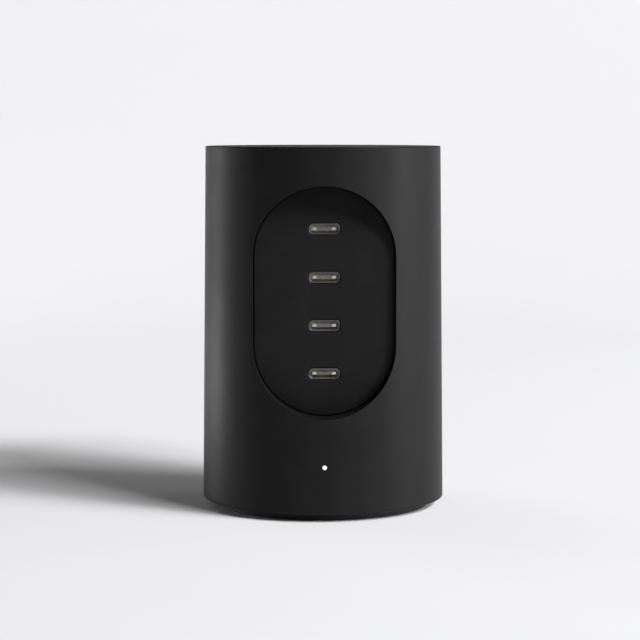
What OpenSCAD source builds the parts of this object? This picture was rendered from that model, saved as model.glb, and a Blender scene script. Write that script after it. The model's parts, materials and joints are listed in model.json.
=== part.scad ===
// Desktop USB charger: a tapered round housing, a recessed port panel and two upright circuit boards.
// Millimetres, +Z up. The origin is the middle of the foot on the table, and the ports face -Y.

/* [Housing] */
// Height of the top face above the table
body_h = 107.9; // [107:0.1:125]
// Diameter at the open bottom rim
rim_d = 72.6; // [71.6:0.1:80]
// Diameter at the top face
top_d = 70.4; // [70:0.1:79]
// Thickness of the side wall
wall = 2.2; // [1.6:0.1:2.5]
// Thickness of the closed top
top_wall = 2.6; // [1.8:0.1:3.4]
// Radius of the outer edge of the top
top_edge_r = 0.3; // [0.2:0.1:1.5]
// Radius of the outer edge of the bottom rim
rim_edge_r = 0.4; // [0.1:0.1:0.8]
// Radius inside, between the wall and the top
inner_edge_r = 1; // [0.4:0.1:1.4]

/* [Port recess] */
// Distance of the stadium-shaped recess below the top
recess_above = 11.15; // [8:0.05:14]
// Height of the recess's lower end above the table
recess_below = 29.85; // [26:0.05:34]
// Depth of the panel's face behind the front of the wall, at the recess's narrower end
recess_depth = 8; // [6.5:0.1:9.5]
// Wall left beside the recess in the plane of the panel's face
recess_land = 1.75; // [1.2:0.05:4]
// Thickness of the panel
panel_t = 2; // [1.4:0.1:2.6]
// Gap between the panel and the wall of the recess
panel_gap = 0.25; // [0.1:0.05:0.5]
// Thickness of the moulded wall round the recess
skirt_t = 1.8; // [1.2:0.1:2.4]
// Width of the ledge behind the panel
ledge_w = 1.6; // [1.2:0.1:2.4]
// Thickness of the ledge
ledge_t = 1.5; // [1:0.1:2]

/* [Panel clips] */
// Width of a clip, along the height of the panel
clip_w = 5; // [3:0.5:8]
// Thickness of a clip's leg
clip_t = 1; // [0.8:0.1:1.4]
// How far a clip's hook reaches behind the ledge
clip_hook = 0.6; // [0.3:0.1:1]
// Height of a clip's hook
clip_hook_h = 1.1; // [0.8:0.1:1.6]
// Distance of each clip above or below the middle of the panel
clip_z = 9; // [6:0.5:10]
// Running gap between a clip and the ledge
clip_gap = 0.15; // [0.05:0.05:0.3]

/* [Ports] */
// Distance between neighbouring ports
port_pitch = 14; // [12:0.1:15]
// Outer width of a port's metal shell
port_w = 8.94; // [8.9:0.01:9]
// Outer height of a port's metal shell
port_h = 3.16; // [3.1:0.01:3.3]
// Outer corner radius of the shell
port_r = 1.3; // [1:0.05:1.5]
// Thickness of the shell's sheet metal
shell_t = 0.3; // [0.2:0.05:0.35]
// Length of a port from its mouth to its board
port_len = 8.6; // [7.6:0.1:9.2]
// How far the mouth lies behind the panel's face
port_inset = 0.3; // [0.1:0.05:0.6]
// Clearance between the shell and its slot in the panel
slot_gap = 0.15; // [0.1:0.05:0.6]
// Width of the chamfer round each slot
slot_chamfer = 0.25; // [0.1:0.05:0.4]
// Width of the contact tongue
tongue_w = 6.7; // [6.4:0.05:6.9]
// Thickness of the tongue
tongue_t = 0.8; // [0.6:0.05:0.9]
// How far the tongue's tip lies behind the mouth
tongue_inset = 0.7; // [0.5:0.05:1.2]
// Length of the thin stretch of the tongue
tongue_len = 3.2; // [2.8:0.1:4]
// Thickness of the tongue's root
root_t = 1.5; // [1.2:0.05:1.7]
// Length of the root
root_len = 1.5; // [0.8:0.1:1.8]
// Thickness of the metal plate inside the tongue
plate_t = 0.2; // [0.15:0.05:0.25]
// Width and length of the plate's bare corners at the tongue's tip
plate_corner = [1.1, 0.5]; // [0.3:0.1:1.4]
// Clearance between the port's plastic core and its shell
core_gap = 0.03; // [0.02:0.01:0.05]
// Contacts on each face of the tongue
contact_count = 12; // [8:1:12]
// Distance between neighbouring contacts
contact_pitch = 0.5; // [0.45:0.01:0.52]
// Width of a contact
contact_w = 0.3; // [0.2:0.05:0.35]
// How far a contact stands out of the tongue
contact_t = 0.06; // [0.03:0.01:0.1]

/* [Status light] */
// Height of the light above the table
led_z = 16.1; // [15:0.1:19]
// Diameter of the lit end in the wall
led_d = 1.35; // [1:0.05:2]
// Diameter of the light pipe behind the wall
pipe_d = 3; // [2.4:0.1:3.6]
// Gap round the light pipe
pipe_gap = 0.05; // [0.02:0.01:0.1]
// Wall of the moulded tube that holds the light pipe
tube_wall = 1.2; // [0.8:0.1:1.6]
// Length of that tube
tube_len = 7; // [4:0.5:9]
// Flat left in the housing in front of the light pipe's shoulder
shoulder_t = 0.4; // [0.2:0.1:0.8]
// Size of the lamp across, up and out from its board
lamp_size = [2, 1.25, 0.8]; // [0.6:0.05:2.4]
// Gap between the lamp and the light pipe
lamp_gap = 0.3; // [0.1:0.05:0.6]

/* [Base] */
// Height of the foot ring, and of the rim above the table
foot_h = 2.4; // [1.8:0.1:3.2]
// Distance of the foot ring inside the rim
foot_inset = 4.45; // [3.5:0.05:6]
// Width of the foot ring
foot_w = 6.8; // [6:0.1:9]
// Depth of the groove that holds the foot ring
foot_groove = 0.6; // [0.3:0.1:0.8]
// Radius of the foot ring's lower edges
foot_edge_r = 0.4; // [0.2:0.1:0.8]
// Gap beside the foot ring in its groove
foot_gap = 0.1; // [0.05:0.05:0.2]
// Thickness of the base cover
cover_t = 3.2; // [3:0.1:4]
// Width of the step in the housing that the cover seats on
cover_step = 1; // [0.6:0.1:1.2]
// Gap round the base cover
cover_gap = 0.15; // [0.05:0.05:0.3]
// Height of the posts on the cover that carry the boards
post_h = 3.4; // [2.5:0.1:4.5]
// Width of a post
post_w = 6; // [4:0.5:8]
// Distance of a post's middle inside the board's edge
post_inset = 9; // [6:0.5:12]

/* [Base screws] */
// Angle of the screws from the X axis
screw_angle = 16; // [12:1:20]
// Diameter of a screw's shank
screw_d = 2.4; // [2:0.1:2.6]
// Length of the shank
screw_len = 7; // [6:0.5:8]
// Diameter of a screw's head
head_d = 4.6; // [4:0.1:5]
// Height of the head
head_h = 1.3; // [1:0.1:1.5]
// Width of the cross in the head
cross_w = 0.6; // [0.4:0.1:0.8]
// Clearance of the shank in its boss
pilot_gap = 0.05; // [0.03:0.01:0.1]
// Clearance of the shank and head in the base cover
screw_gap = 0.2; // [0.15:0.05:0.3]
// Wall of a screw boss round its hole
boss_wall = 1.8; // [1.4:0.1:2.2]
// Thickness of the rib between a boss and the wall
rib_t = 1.6; // [1:0.1:2]

/* [Circuit boards] */
// Thickness of both boards
board_t = 1.6; // [1:0.1:2]
// Gap between a board's edge and the housing where the housing is narrowest
board_side_gap = 0.5; // [0.4:0.05:1]
// Gap between the boards and the underside of the top
board_top_gap = 1; // [0.7:0.1:1.5]
// Clearance of a board in its rails
rail_gap = 0.1; // [0.05:0.05:0.2]
// Thickness of each side of a rail
rail_t = 1.2; // [0.8:0.1:1.5]
// How far a rail grips the board
rail_grip = 1.2; // [1:0.1:2]
// Thickness of the insulating film behind the port board
film_t = 0.4; // [0.2:0.05:0.6]
// Gap between the port board and the film
film_y = 1.6; // [1.4:0.1:2]
// Gap between the film's top edge and the link above it
film_top_gap = 1.5; // [0.5:0.5:4]
// Gap between the rails and the parts beside them
part_gap = 0.2; // [0.2:0.1:1]

/* [Mains inlet] */
// Height of the inlet's middle above the boards' lower edge
inlet_rise = 10; // [9.5:0.1:11]
// Outer size of the inlet's nose across and up
inlet_size = [20, 11.8]; // [11:0.1:21]
// Corner radius of the nose
inlet_r = 2.5; // [1:0.1:3]
// Gap between the nose and its window in the housing
inlet_gap = 0.2; // [0.1:0.05:0.3]
// Diameter of each lobe of the figure-of-eight mouth
lobe_d = 8.2; // [8:0.1:8.6]
// Height of the waist between the lobes
waist_h = 5.6; // [5:0.1:6.5]
// Depth of the mouth
inlet_depth = 12.4; // [11:0.1:12.8]
// Thickness of the inlet's floor
inlet_floor = 3.65; // [2.5:0.05:5]
// Distance between the two pins
pin_pitch = 8.6; // [8.4:0.05:8.8]
// Diameter of a pin
pin_d = 2.4; // [2.2:0.05:2.5]
// How far a pin's tip lies behind the mouth
pin_inset = 3.2; // [2.5:0.1:4]
// Clearance round a pin in the inlet and the board
pin_gap = 0.05; // [0.03:0.01:0.1]
// How far a pin's soldered tail comes through the board
pin_tail = 0.8; // [0.4:0.1:1.2]

/* [Mains parts] */
// Diameter and height of the fuse
fuse_size = [8.4, 8]; // [7:0.1:9]
// Diameter and thickness of the surge arrester
varistor_size = [10.4, 4]; // [3:0.1:11]
// Size of the line capacitor across, up and out
x_cap_size = [17.5, 8.5, 14.5]; // [7:0.1:18]
// Diameter and thickness of the safety capacitor
y_cap_size = [8, 3.5]; // [2.5:0.1:9]
// Outer and inner diameter and height of the choke's ring core
choke_size = [14.4, 7.4, 8]; // [6:0.1:15]
// Thickness of the choke's wire
choke_wire = 0.8; // [0.5:0.1:1]
// Turns on each side of the choke
choke_turns = 7; // [4:1:8]
// Slack of the turns round the core
winding_gap = 0.05; // [0.03:0.01:0.15]
// Height of the stand under the choke's turns
choke_stand = 0.6; // [0.4:0.1:1.5]
// Size of the bridge rectifier across, up and out
bridge_size = [15, 3.5, 11]; // [3:0.1:16]
// Size of the power switch across, up and out
switch_size = [4.5, 10, 15]; // [4:0.1:16]
// Size of the heat sink across, up and out
sink_size = [1.5, 14, 20]; // [1.2:0.1:21]
// Diameter and height of the supply capacitor
supply_cap_size = [8, 12]; // [6:0.1:13]
// Diameter and height of a bulk capacitor
bulk_size = [13, 21.5]; // [12:0.1:22]
// Length of the leads between a standing part and its board
lead_h = 1.2; // [0.8:0.1:1.8]
// Diameter of a lead
lead_d = 0.8; // [0.5:0.1:1]

/* [Transformer] */
// Size of the core across, up and out
core_size = [18.4, 28, 16]; // [14:0.1:30]
// Thickness of the core's yokes and outer legs
yoke_t = 3; // [2.5:0.1:3.4]
// Diameter of the core's middle leg
leg_d = 6; // [4:0.1:6.6]
// Wall of the bobbin
bobbin_wall = 0.7; // [0.5:0.1:0.9]
// Gap between the winding and the ends of the bobbin's flanges
winding_inset = 0.6; // [0.4:0.1:1.2]
// Height of the rails under the transformer
bobbin_foot = 2; // [1.5:0.1:2.5]
// Gap between the bobbin and the core
bobbin_gap = 0.1; // [0.05:0.05:0.15]

/* [Output parts] */
// Diameter and height of an output capacitor
output_cap_size = [8, 12]; // [7:0.1:13]
// Gap between the two output capacitors
output_cap_gap = 0.8; // [0.4:0.1:1.2]
// Size of a control chip across, up and out
chip_size = [4, 5, 1.5]; // [1:0.1:5.5]
// Size of the link's sockets across, up and out
link_size = [12, 3, 8.5]; // [2.5:0.1:13]
// Pins in the link
link_pin_count = 4; // [3:1:4]
// Distance between the link's pins
link_pitch = 2.54; // [2:0.01:2.7]
// Width of a link pin
link_pin_w = 0.9; // [0.6:0.1:1]
// Clearance of the link pins in their sockets
link_gap = 0.05; // [0.03:0.01:0.1]

/* [Port board parts] */
// Gap between a port and the parts beside it
port_part_gap = 2.5; // [1.5:0.1:3.5]
// Size of a port coil across, up and out
coil_size = [7, 7, 3.8]; // [3:0.1:7.5]
// Depth of the round dimple in a coil
coil_dimple = 0.3; // [0.1:0.1:0.6]
// Size of a port chip across, up and out
port_chip_size = [4.5, 4.5, 0.9]; // [0.7:0.1:5]
// Size of a port capacitor across, up and out
port_cap_size = [3.2, 2.5, 2.2]; // [1.8:0.1:3.4]
// Height of each port capacitor above or below its port
port_cap_z = 2.4; // [2:0.1:3]

/* [Hidden] */
$fn = 96;

port_count = 4;
far = 100;
overcut = 1;
sides = [-1, 1];
black = "#1b1b1c";
dark = "#0f0f10";
board_green = "#0c4a2c";
steel = "#8d8f92";
gold = "#d8b15a";

// Radius of the housing's outside at a height
function body_r(z) = rim_d / 2 + (top_d - rim_d) / 2 * (z - foot_h) / (body_h - foot_h);
// Radius of the cavity at a height
function cavity_r(z) = body_r(z) - wall;
// Points of an arc about [x, z] from angle a to angle b
function arc(x, z, r, a, b, steps = 6) =
    [for (i = [0:steps]) let (t = a + (b - a) * i / steps) [x + r * cos(t), z + r * sin(t)]];
// Height of a port, counted from the top
function port_z(i) = recess_z + port_pitch * ((port_count - 1) / 2 - i);

// Height of the middle of part i in a column whose parts share the spare length of the board
function share(sizes, i) =
    let (spare = (board_top - board_z - sum(sizes, len(sizes))) / (len(sizes) + 1))
    board_z + spare * (i + 1) + sum(sizes, i) + sizes[i] / 2;
// Sum of the first n sizes
function sum(sizes, n) = n == 0 ? 0 : sizes[n - 1] + sum(sizes, n - 1);

cavity_top = body_h - top_wall;
recess_top = body_h - recess_above;
recess_h = recess_top - recess_below;
recess_z = (recess_top + recess_below) / 2;
recess_r = min(body_r(recess_top), body_r(recess_below));
panel_y = recess_r - recess_depth;
recess_w = 2 * (sqrt(recess_r * recess_r - panel_y * panel_y) - recess_land);
foot_d = rim_d - 2 * foot_inset;
foot_bore = foot_d - 2 * foot_w;
screw_r = (foot_d + foot_bore) / 4;
cover_top = foot_h + cover_t;
cover_r = cavity_r(cover_top) + cover_step - cover_gap;
board_z = cover_top + post_h;
board_top = cavity_top - board_top_gap;
ledge_y = -(panel_y - panel_t);
port_mouth_y = -(panel_y - port_inset);
port_board_y = port_mouth_y + port_len;
port_board_back = port_board_y + board_t;
film_front = port_board_back + film_y;
inlet_z = board_z + inlet_rise;
inlet_face_y = sqrt(pow(body_r(inlet_z + inlet_size[1] / 2), 2) - pow(inlet_size[0] / 2, 2));
inlet_floor_y = inlet_face_y - inlet_depth;
main_back = inlet_floor_y - inlet_floor;
main_y = main_back - board_t;
light_y = -body_r(led_z);
shoulder_y = -(cavity_r(led_z) - shoulder_t);
lamp_y = port_board_y - lamp_size[2];

// Half the width of a board whose face farthest from the axis is at y
function board_half(y) =
    sqrt(pow(min(cavity_r(board_top), cavity_r(board_z)), 2) - y * y) - board_side_gap;

port_board_half = board_half(port_board_y);
main_board_half = board_half(main_back);

// The main board's parts stand in two columns, each beside a rail, from the bottom up
column_room = main_board_half - rail_grip - part_gap;
choke_across = choke_size[0] + 2 * (choke_wire + winding_gap);
left_x = max(choke_across, bulk_size[0]) / 2 - column_room;
right_x = column_room - max(core_size[0], x_cap_size[0]) / 2;
left_sizes = [
    fuse_size[0], y_cap_size[0], choke_across, supply_cap_size[0], bulk_size[0], bulk_size[0], link_size[1]
];
right_sizes = [
    varistor_size[0], x_cap_size[1], bridge_size[1], sink_size[1], core_size[1], output_cap_size[0]
];
function left_at(i) = [left_x, share(left_sizes, i)];
function right_at(i) = [right_x, share(right_sizes, i)];
link_at = left_at(6);

// Flat shapes

module stadium(w, h) {
    square([w, h - w], center = true);
    for (s = sides) translate([0, s * (h - w) / 2]) circle(d = w);
}

module rounded(w, h, r) {
    square([w - 2 * r, h], center = true);
    square([w, h - 2 * r], center = true);
    for (x = sides, z = sides) translate([x * (w / 2 - r), z * (h / 2 - r)]) circle(r = r);
}

// Stands a flat XY shape up in XZ at z and extrudes it from y = a to y = b
module through_y(a, b, z = 0, x = 0) {
    translate([x, b, z]) rotate([90, 0, 0]) linear_extrude(b - a) children();
}

// A box given by its middle across and up, and its two faces along Y
module block_y(x, z, w, h, a, b) {
    translate([x - w / 2, a, z - h / 2]) cube([w, b - a, h]);
}

module cylinder_y(d, a, b, z = 0, x = 0) {
    translate([x, b, z]) rotate([90, 0, 0]) cylinder(d = d, h = b - a);
}

// Housing

module housing_outside() {
    r = [for (z = [foot_h + rim_edge_r, body_h - top_edge_r]) body_r(z)];
    rotate_extrude() polygon(concat(
        [[0, foot_h]],
        arc(r[0] - rim_edge_r, foot_h + rim_edge_r, rim_edge_r, -90, 0),
        arc(r[1] - top_edge_r, body_h - top_edge_r, top_edge_r, 0, 90),
        [[0, body_h]]
    ));
}

module cavity_space() {
    seat_r = cover_r + cover_gap;
    top_z = cavity_top - inner_edge_r;
    rotate_extrude() polygon(concat(
        [[0, foot_h - overcut], [seat_r, foot_h - overcut], [seat_r, cover_top]],
        [[cavity_r(cover_top), cover_top]],
        arc(cavity_r(top_z) - inner_edge_r, top_z, inner_edge_r, 0, 90),
        [[0, cavity_top]]
    ));
}

// The two upright rails that grip a sheet of thickness t whose front face is at y
module rails(y, t, half) {
    for (s = sides) difference() {
        block_y(s * (half - rail_grip + far / 2), (cover_top + far) / 2, far, far - cover_top,
            y - rail_gap - rail_t, y + t + rail_gap + rail_t);
        block_y(0, far / 2, 2 * (half + rail_gap), 2 * far, y - rail_gap, y + t + rail_gap);
    }
}

module at_screws() {
    for (s = sides, t = sides) rotate([0, 0, (s > 0 ? 0 : 180) + t * screw_angle])
        translate([screw_r, 0, 0]) children();
}

module screw_bosses() {
    d = screw_d + 2 * (pilot_gap + boss_wall);
    boss_top = cover_top + screw_len;
    at_screws() {
        translate([0, 0, cover_top]) cylinder(d = d, h = boss_top - cover_top);
        translate([0, -rib_t / 2, cover_top]) cube([wall * 4, rib_t, boss_top - cover_top]);
    }
}

module housing() {
    skirt_w = recess_w + 2 * skirt_t;
    skirt_h = recess_h + 2 * skirt_t;
    color(black) difference() {
        housing_outside();
        difference() {
            cavity_space();
            through_y(-far, ledge_y + ledge_t, recess_z) stadium(skirt_w, skirt_h);
            rails(port_board_y, board_t, port_board_half);
            rails(film_front, film_t, port_board_half);
            rails(main_y, board_t, main_board_half);
            screw_bosses();
            cylinder_y(pipe_d + 2 * (pipe_gap + tube_wall), -far, shoulder_y + tube_len, led_z);
        }
        through_y(-far, ledge_y, recess_z) stadium(recess_w, recess_h);
        through_y(ledge_y - overcut, ledge_y + ledge_t + overcut, recess_z)
            stadium(recess_w - 2 * ledge_w, recess_h - 2 * ledge_w);
        cylinder_y(led_d + 2 * pipe_gap, -far, shoulder_y + overcut, led_z);
        cylinder_y(pipe_d + 2 * pipe_gap, shoulder_y, shoulder_y + tube_len + overcut, led_z);
        through_y(main_back, far, inlet_z)
            rounded(inlet_size[0] + 2 * inlet_gap, inlet_size[1] + 2 * inlet_gap, inlet_r);
        at_screws() translate([0, 0, cover_top - overcut])
            cylinder(d = screw_d + 2 * pilot_gap, h = screw_len);
    }
}

// Port panel, with four clips that hook behind the ledge

module slot(i) {
    w = port_w + 2 * slot_gap;
    h = port_h + 2 * slot_gap;
    r = port_r + slot_gap;
    through_y(-panel_y - overcut, ledge_y + overcut, port_z(i)) rounded(w, h, r);
}

// The chamfer round a slot: a ring of cones and wedges as wide as the chamfer at the panel's face
module slot_bevel(i) {
    c = slot_chamfer;
    w = port_w + 2 * slot_gap;
    h = port_h + 2 * slot_gap;
    r = port_r + slot_gap;
    translate([0, -panel_y, port_z(i)]) rotate([-90, 0, 0]) {
        for (x = sides, z = sides) translate([x * (w / 2 - r), z * (h / 2 - r), 0])
            cylinder(r1 = r + c, r2 = r, h = c);
        bevel_bar(w - 2 * r, h, c);
        rotate([0, 0, 90]) bevel_bar(h - 2 * r, w, c);
    }
}

// A bar of length len and width w that widens by c on each side at its lower face
module bevel_bar(len, w, c) {
    rotate([90, 0, 90]) translate([0, 0, -len / 2]) linear_extrude(len)
        polygon([[-w / 2 - c, 0], [w / 2 + c, 0], [w / 2, c], [-w / 2, c]]);
}

module clip() {
    ledge_x = recess_w / 2 - ledge_w;
    back = ledge_y + ledge_t + clip_gap;
    leg_x = ledge_x - clip_gap - clip_t / 2;
    block_y(leg_x, 0, clip_t, clip_w, ledge_y - panel_t / 2, back + clip_hook_h);
    translate([leg_x, back, -clip_w / 2]) linear_extrude(clip_w) polygon([
        [0, 0], [clip_t / 2 + clip_gap + clip_hook, 0], [clip_t / 2, clip_hook_h], [0, clip_hook_h]
    ]);
}

module port_panel() {
    color(black) difference() {
        union() {
            through_y(-panel_y, ledge_y, recess_z)
                stadium(recess_w - 2 * panel_gap, recess_h - 2 * panel_gap);
            for (s = sides, z = sides) translate([0, 0, recess_z + z * clip_z])
                mirror([s < 0 ? 1 : 0, 0, 0]) clip();
        }
        for (i = [0:port_count - 1]) {
            slot(i);
            slot_bevel(i);
        }
    }
}

// Base cover, foot ring and screws

module board_post(y, t) {
    for (s = sides) translate([s * (board_half(y) - post_inset) - post_w / 2, y, cover_top - overcut])
        cube([post_w, t, post_h + overcut]);
}

module base_cover() {
    color(black) difference() {
        union() {
            translate([0, 0, foot_h]) cylinder(r = cover_r, h = cover_t);
            board_post(port_board_y, board_t);
            board_post(main_y, board_t);
        }
        translate([0, 0, foot_h - overcut]) difference() {
            cylinder(d = foot_d + 2 * foot_gap, h = foot_groove + overcut);
            translate([0, 0, -overcut])
                cylinder(d = foot_bore - 2 * foot_gap, h = foot_groove + 3 * overcut);
        }
        at_screws() translate([0, 0, foot_h]) {
            cylinder(d = head_d + 2 * screw_gap, h = foot_groove + screw_gap + head_h);
            cylinder(d = screw_d + 2 * screw_gap, h = cover_t + overcut);
        }
    }
}

module foot_ring() {
    e = foot_edge_r;
    top = foot_h + foot_groove;
    color(dark) rotate_extrude() polygon(concat(
        arc(foot_bore / 2 + e, e, e, -180, -90),
        arc(foot_d / 2 - e, e, e, -90, 0),
        [[foot_d / 2, top], [foot_bore / 2, top]]
    ));
}

module base_screws() {
    under = foot_h + foot_groove + screw_gap;
    color(steel) at_screws() translate([0, 0, under]) difference() {
        union() {
            cylinder(d = head_d, h = head_h);
            cylinder(d = screw_d, h = cover_top + screw_len - 2 * overcut - under);
        }
        for (a = [0, 90]) rotate([0, 0, a]) translate([-head_d / 3, -cross_w / 2, -overcut])
            cube([head_d / 1.5, cross_w, overcut + head_h / 2]);
    }
}

// Status light

module light_pipe() {
    color("white") {
        cylinder_y(led_d, light_y + pipe_gap, shoulder_y + overcut, led_z);
        cylinder_y(pipe_d, shoulder_y + pipe_gap, lamp_y - lamp_gap, led_z);
    }
}

module status_led() {
    color("lightyellow") block_y(0, led_z, lamp_size[0], lamp_size[1], lamp_y, port_board_y);
}

// Ports: a drawn steel shell round a plastic core with a tongue, which is moulded round a metal plate
// and has a row of contacts on each face

module usb_shell(i) {
    color(steel) difference() {
        through_y(port_mouth_y, port_board_y, port_z(i)) rounded(port_w, port_h, port_r);
        through_y(port_mouth_y - overcut, port_board_y + overcut, port_z(i))
            rounded(port_w - 2 * shell_t, port_h - 2 * shell_t, port_r - shell_t);
    }
}

module usb_tongue(i) {
    tip_y = port_mouth_y + tongue_inset;
    root_y = tip_y + tongue_len;
    core_y = root_y + root_len;
    inset = 2 * (shell_t + core_gap);
    color(dark) difference() {
        union() {
            block_y(0, port_z(i), tongue_w, tongue_t, tip_y, core_y);
            block_y(0, port_z(i), tongue_w + root_t - tongue_t, root_t, root_y, core_y);
            through_y(core_y, port_board_y, port_z(i))
                rounded(port_w - inset, port_h - inset, port_r - inset / 2);
        }
        plate_shape(i);
    }
}

// The plate ends behind the tongue's tip, and only its two thicker front corners are bare
module plate_shape(i) {
    tip_y = port_mouth_y + tongue_inset;
    block_y(0, port_z(i), tongue_w, plate_t, tip_y + plate_corner[1] / 2, port_board_y);
    for (s = sides) block_y(s * (tongue_w - plate_corner[0]) / 2, port_z(i), plate_corner[0], tongue_t,
        tip_y, tip_y + plate_corner[1]);
}

module usb_plate(i) {
    color(steel) plate_shape(i);
}

module usb_contacts(i) {
    tip_y = port_mouth_y + tongue_inset;
    color(gold) for (s = sides, n = [0:contact_count - 1]) block_y(
        (n - (contact_count - 1) / 2) * contact_pitch, port_z(i) + s * (tongue_t + contact_t) / 2,
        contact_w, contact_t, tip_y + contact_w, tip_y + tongue_len
    );
}

// Port board and what is soldered to it

module port_board() {
    color(board_green) block_y(0, (board_z + board_top) / 2, 2 * port_board_half, board_top - board_z,
        port_board_y, port_board_back);
}

// A part that stands out of the port board's front face
module on_port_board(x, z, size) {
    block_y(x, z, size[0], size[1], port_board_y - size[2], port_board_y);
}

// A moulded coil: a square body with its corners cut and a round dimple in its face
module port_coils() {
    c = coil_size[0] / 5;
    coil_x = (port_w + coil_size[0]) / 2 + port_part_gap;
    color("dimgray") for (i = [0:port_count - 1]) difference() {
        on_port_board(coil_x, port_z(i), coil_size);
        for (a = [45:90:315]) translate([coil_x, port_board_y, port_z(i)]) rotate([90, a, 0])
            translate([norm([coil_size[0], coil_size[1]]) / 2 - c / 2, -far / 2, -overcut])
            cube([far, far, coil_size[2] + 2 * overcut]);
        cylinder_y(coil_size[0] * 0.6, port_board_y - coil_size[2] - overcut,
            port_board_y - coil_size[2] + coil_dimple, port_z(i), coil_x);
    }
}

module port_chips() {
    color(dark) for (i = [0:port_count - 1])
        on_port_board(-(port_w + port_chip_size[0]) / 2 - port_part_gap, port_z(i), port_chip_size);
}

module port_capacitors() {
    cap_x = port_w / 2 + port_part_gap + port_chip_size[0] + port_part_gap / 2 + port_cap_size[0] / 2;
    color("tan") for (i = [0:port_count - 1], s = sides)
        on_port_board(-cap_x, port_z(i) + s * port_cap_z, port_cap_size);
}

module insulating_film() {
    film_top = link_at[1] - link_size[1] / 2 - film_top_gap;
    color("ivory") block_y(0, (board_z + film_top) / 2, 2 * port_board_half, film_top - board_z,
        film_front, film_front + film_t);
}

// Main board, with the mains inlet behind it and the converter in front of it

module main_board() {
    color(board_green) difference() {
        block_y(0, (board_z + board_top) / 2, 2 * main_board_half, board_top - board_z, main_y, main_back);
        for (s = sides)
            cylinder_y(pin_d + 2 * pin_gap, main_y - overcut, main_back + overcut, inlet_z, s * pin_pitch / 2);
    }
}

// The two lobes and the waist of the inlet's mouth
module figure_of_eight() {
    for (s = sides) translate([s * pin_pitch / 2, 0]) circle(d = lobe_d);
    square([pin_pitch, waist_h], center = true);
}

module inlet_body() {
    color(dark) difference() {
        through_y(main_back, inlet_face_y, inlet_z) rounded(inlet_size[0], inlet_size[1], inlet_r);
        through_y(inlet_floor_y, inlet_face_y + overcut, inlet_z) figure_of_eight();
        for (s = sides)
            cylinder_y(pin_d + 2 * pin_gap, main_back - overcut, inlet_floor_y + overcut, inlet_z, s * pin_pitch / 2);
    }
}

module inlet_pins() {
    tip = pin_d / 4;
    end_y = inlet_face_y - pin_inset;
    color(steel) for (s = sides) {
        cylinder_y(pin_d, main_y - pin_tail, end_y - tip, inlet_z, s * pin_pitch / 2);
        translate([s * pin_pitch / 2, end_y - tip, inlet_z]) rotate([-90, 0, 0])
            cylinder(d1 = pin_d, d2 = pin_d - 2 * tip, h = tip);
    }
}

// A part at [x, z] on the main board, drawn upright with its foot at the origin
module on_main(at, lift = 0) {
    translate([at[0], main_y - lift, at[1]]) rotate([90, 0, 0]) children();
}

// A row of leads from a standing part down to the board
module leads(count, pitch) {
    for (i = [0:count - 1]) translate([(i - (count - 1) / 2) * pitch, 0, 0])
        cylinder(d = lead_d, h = lead_h * 1.5);
}

module slab(size) {
    translate([-size[0] / 2, -size[1] / 2, 0]) cube(size);
}

module fuse() {
    color("saddlebrown") on_main(left_at(0)) cylinder(d = fuse_size[0], h = fuse_size[1]);
}

// A lacquered disc on two leads
module disc_part(at, size) {
    on_main(at) {
        rotate([0, 0, 90]) leads(2, size[0] / 2);
        translate([-size[1] / 2, 0, lead_h + size[0] / 2]) rotate([0, 90, 0]) cylinder(d = size[0], h = size[1]);
    }
}

module surge_arrester() {
    color("royalblue") disc_part(right_at(0), varistor_size);
}

module safety_capacitor() {
    color("steelblue") disc_part(left_at(1), y_cap_size);
}

module line_capacitor() {
    color("gold") on_main(right_at(1)) slab(x_cap_size);
}

module choke_stand() {
    color(dark) on_main(left_at(2)) cylinder(d = choke_size[0], h = choke_stand);
}

module choke_core() {
    color("darkslategray") on_main(left_at(2), choke_stand + choke_wire) difference() {
        cylinder(d = choke_size[0], h = choke_size[2]);
        translate([0, 0, -overcut]) cylinder(d = choke_size[1], h = choke_size[2] + 2 * overcut);
    }
}

// Each turn is a flat ring of wire round the core's section
module choke_windings() {
    width = (choke_size[0] - choke_size[1]) / 2;
    middle = (choke_size[0] + choke_size[1]) / 4;
    step = 130 / (choke_turns - 1);
    color("chocolate") on_main(left_at(2), choke_stand + choke_wire)
        for (s = [0, 180], i = [0:choke_turns - 1]) rotate([0, 0, s + (i - (choke_turns - 1) / 2) * step])
        translate([middle, choke_wire / 2, choke_size[2] / 2]) rotate([90, 0, 0]) linear_extrude(choke_wire)
        difference() {
            square([width + 2 * (choke_wire + winding_gap), choke_size[2] + 2 * choke_wire], center = true);
            square([width + 2 * winding_gap, choke_size[2] + 2 * winding_gap], center = true);
        }
}

module bridge_rectifier() {
    color(dark) on_main(right_at(2)) {
        translate([0, 0, lead_h]) slab(bridge_size);
        leads(4, bridge_size[0] / 4);
    }
}

module power_switch() {
    color(dark) on_main(right_at(3)) {
        translate([0, 0, lead_h]) slab(switch_size);
        rotate([0, 0, 90]) leads(3, switch_size[1] / 4);
    }
}

module heat_sink() {
    color("silver") on_main(right_at(3) + [(switch_size[0] + sink_size[0]) / 2, 0]) slab(sink_size);
}

// A can with a rolled bead near its foot and rounded shoulders
module can(d, h) {
    e = d / 16;
    rotate_extrude() polygon(concat(
        [[0, 0], [d / 2, 0], [d / 2, 2 * e], [d / 2 - e, 2.6 * e], [d / 2 - e, 3 * e], [d / 2, 3.6 * e]],
        arc(d / 2 - e, h - e, e, 0, 90),
        [[0, h]]
    ));
}

module supply_capacitor() {
    color("navy") on_main(left_at(3)) can(supply_cap_size[0], supply_cap_size[1]);
}

module bulk_capacitor(i) {
    color("darkslateblue") on_main(left_at(4 + i)) can(bulk_size[0], bulk_size[1]);
}

module output_capacitors() {
    color("silver") for (s = sides) on_main(right_at(5) + [s * (output_cap_size[0] + output_cap_gap) / 2, 0])
        can(output_cap_size[0], output_cap_size[1]);
}

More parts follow.
